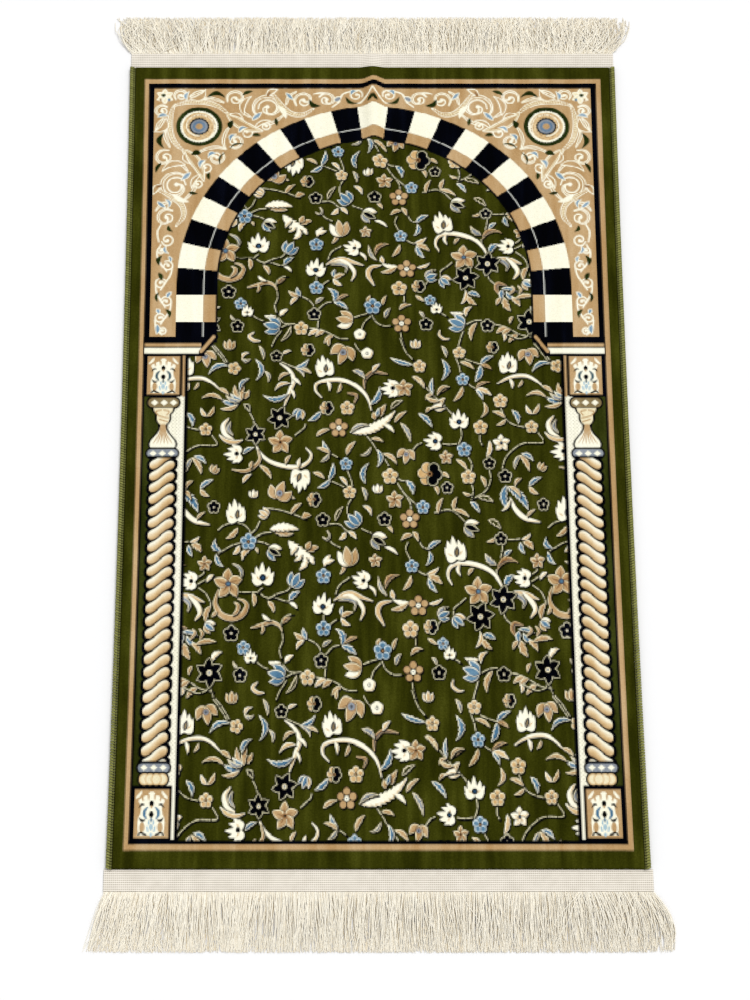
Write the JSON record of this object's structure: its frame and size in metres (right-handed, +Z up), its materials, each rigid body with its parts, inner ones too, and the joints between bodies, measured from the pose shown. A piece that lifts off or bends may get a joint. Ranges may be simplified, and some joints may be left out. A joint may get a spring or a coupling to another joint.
{
  "type": "prayer rug",
  "caption": "Prayer rug lying flat: pile carpet with whipped sides, ribbed cotton end tapes, long cotton fringes and a soft centre fold at the arched end.",
  "frame": {"origin": "centre of the rug's footprint, fringes included, on the floor that it lies on", "axes": "+Y along the rug towards its arched end, +X across it to the right when seen from above with the arch away, +Z up out of the pile"},
  "size_m": [0.7433, 1.301, 0.0135],
  "materials": {
    "pile": "short cut pile, olive green ground with ivory, tan, blue and near-black knots, soft velvet sheen",
    "whipping": "matte olive yarn whipped closely over the edge",
    "tape": "matte cream cotton with fine ribs across the end",
    "fringe": "matte unbleached cotton yarn"
  },
  "bodies": {
    "root": {"rug_body": "pile", "side_binding_left": "whipping", "side_binding_right": "whipping", "heading_top": "tape", "heading_bottom": "tape", "fringe_top": "fringe", "fringe_bottom": "fringe"}
  },
  "joints": []
}
